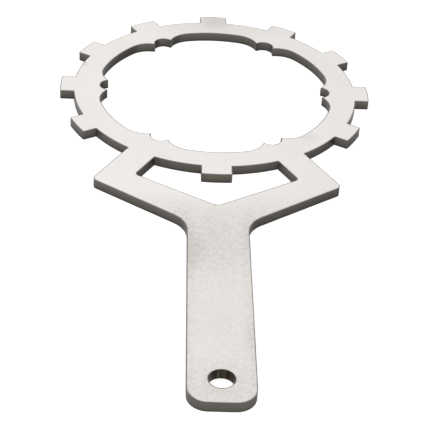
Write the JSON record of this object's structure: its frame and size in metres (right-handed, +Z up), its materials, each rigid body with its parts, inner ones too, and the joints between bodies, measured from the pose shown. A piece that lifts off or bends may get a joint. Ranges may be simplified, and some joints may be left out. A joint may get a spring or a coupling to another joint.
{
  "type": "clutch installation tool",
  "caption": "Flat plate clutch tool: a ring with driving tabs outside and notched lugs inside, a forked yoke and a straight handle with a hanging hole, for holding a clutch while it is fitted.",
  "frame": {"origin": "middle of the overall length and width, on the underside of the plate", "axes": "+Y from the handle's end to the ring, +Z up out of the flat plate, +X across the handle; the ring's centre is at Y = 71.0 mm"},
  "size_m": [0.1448, 0.2868, 0.0045],
  "materials": {
    "satin_stainless": "satin tumbled faces, darker profile-cut edges"
  },
  "bodies": {
    "root": {"tool_plate": "satin_stainless"}
  },
  "joints": []
}
